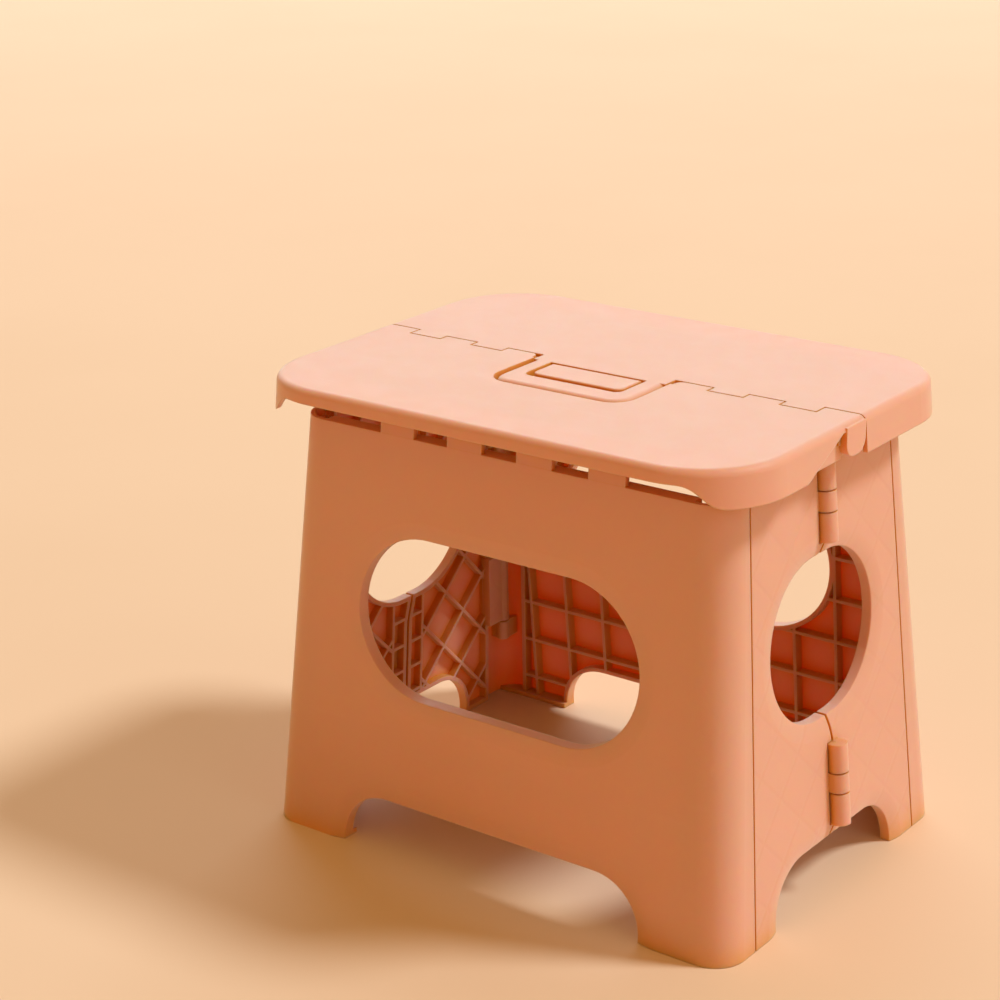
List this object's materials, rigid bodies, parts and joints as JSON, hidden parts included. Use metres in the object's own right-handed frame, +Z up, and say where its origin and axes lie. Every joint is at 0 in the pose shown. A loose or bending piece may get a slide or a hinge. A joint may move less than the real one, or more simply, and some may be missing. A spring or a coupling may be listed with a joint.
{
  "type": "folding step stool",
  "caption": "Folding plastic step stool: a split deck with a carrying handle on hinged leg panels and folding ends with oval cut-outs.",
  "frame": {"origin": "on the floor under the centre of the opened stool", "axes": "+X along the long side of the deck, +Y from the front leg to the rear leg, +Z up"},
  "size_m": [0.264, 0.1918, 0.2176],
  "materials": {
    "pink_plastic": "satin",
    "pin_steel": "drawn wire"
  },
  "bodies": {
    "front_leg": {"front_leg": "pink_plastic", "front_deck_rod": "pin_steel", "right_front_corner_pin": "pin_steel", "left_front_corner_pin": "pin_steel"},
    "rear_leg": {"rear_leg": "pink_plastic", "rear_deck_rod": "pin_steel", "right_rear_corner_pin": "pin_steel", "left_rear_corner_pin": "pin_steel"},
    "top_front": {"top_front": "pink_plastic", "right_centre_pin": "pin_steel", "left_centre_pin": "pin_steel"},
    "top_rear": {"top_rear": "pink_plastic"},
    "right_front_end": {"right_front_end": "pink_plastic"},
    "right_rear_end": {"right_rear_end": "pink_plastic", "right_lower_end_pin": "pin_steel", "right_upper_end_pin": "pin_steel"},
    "left_front_end": {"left_front_end": "pink_plastic", "left_lower_end_pin": "pin_steel", "left_upper_end_pin": "pin_steel"},
    "left_rear_end": {"left_rear_end": "pink_plastic"}
  },
  "joints": [
    {"name": "right_front_corner_hinge", "type": "hinge", "parent": "front_leg", "child": "right_front_end", "pos_m": [0.1197, -0.081, 0], "axis": [-0.0681, 0.089, 0.9937], "range_deg": [0, 85]},
    {"name": "right_end_hinge", "type": "hinge", "parent": "right_front_end", "child": "right_rear_end", "pos_m": [0.13004, 0, 0], "axis": [-0.0797, 0, 0.9968], "range_deg": [-169.4, 0]},
    {"name": "right_rear_corner_hinge", "type": "hinge", "parent": "right_rear_end", "child": "rear_leg", "pos_m": [0.1197, 0.081, 0], "axis": [-0.0681, -0.089, 0.9937], "range_deg": [0, 85]},
    {"name": "left_front_corner_hinge", "type": "hinge", "parent": "front_leg", "child": "left_front_end", "pos_m": [-0.1197, -0.081, 0], "axis": [0.0681, 0.089, 0.9937], "range_deg": [-85, 0]},
    {"name": "left_end_hinge", "type": "hinge", "parent": "left_front_end", "child": "left_rear_end", "pos_m": [-0.13004, 0, 0], "axis": [0.0797, 0, 0.9968], "range_deg": [0, 169.4]},
    {"name": "front_deck_hinge", "type": "hinge", "parent": "front_leg", "child": "top_front", "pos_m": [0, -0.07243, 0.2117], "axis": [1, 0, 0], "range_deg": [0, 72]},
    {"name": "rear_deck_hinge", "type": "hinge", "parent": "rear_leg", "child": "top_rear", "pos_m": [0, 0.07243, 0.2117], "axis": [1, 0, 0], "range_deg": [-72, 0]}
  ],
  "couplings": [
    {"joint": "right_end_hinge", "follows": "right_front_corner_hinge", "ratio": -1.9913},
    {"joint": "right_rear_corner_hinge", "follows": "right_front_corner_hinge", "ratio": 1},
    {"joint": "left_front_corner_hinge", "follows": "right_front_corner_hinge", "ratio": -1},
    {"joint": "left_end_hinge", "follows": "right_front_corner_hinge", "ratio": 1.9913},
    {"joint": "front_deck_hinge", "follows": "right_front_corner_hinge", "ratio": 0.8458},
    {"joint": "rear_deck_hinge", "follows": "right_front_corner_hinge", "ratio": -0.8458}
  ]
}
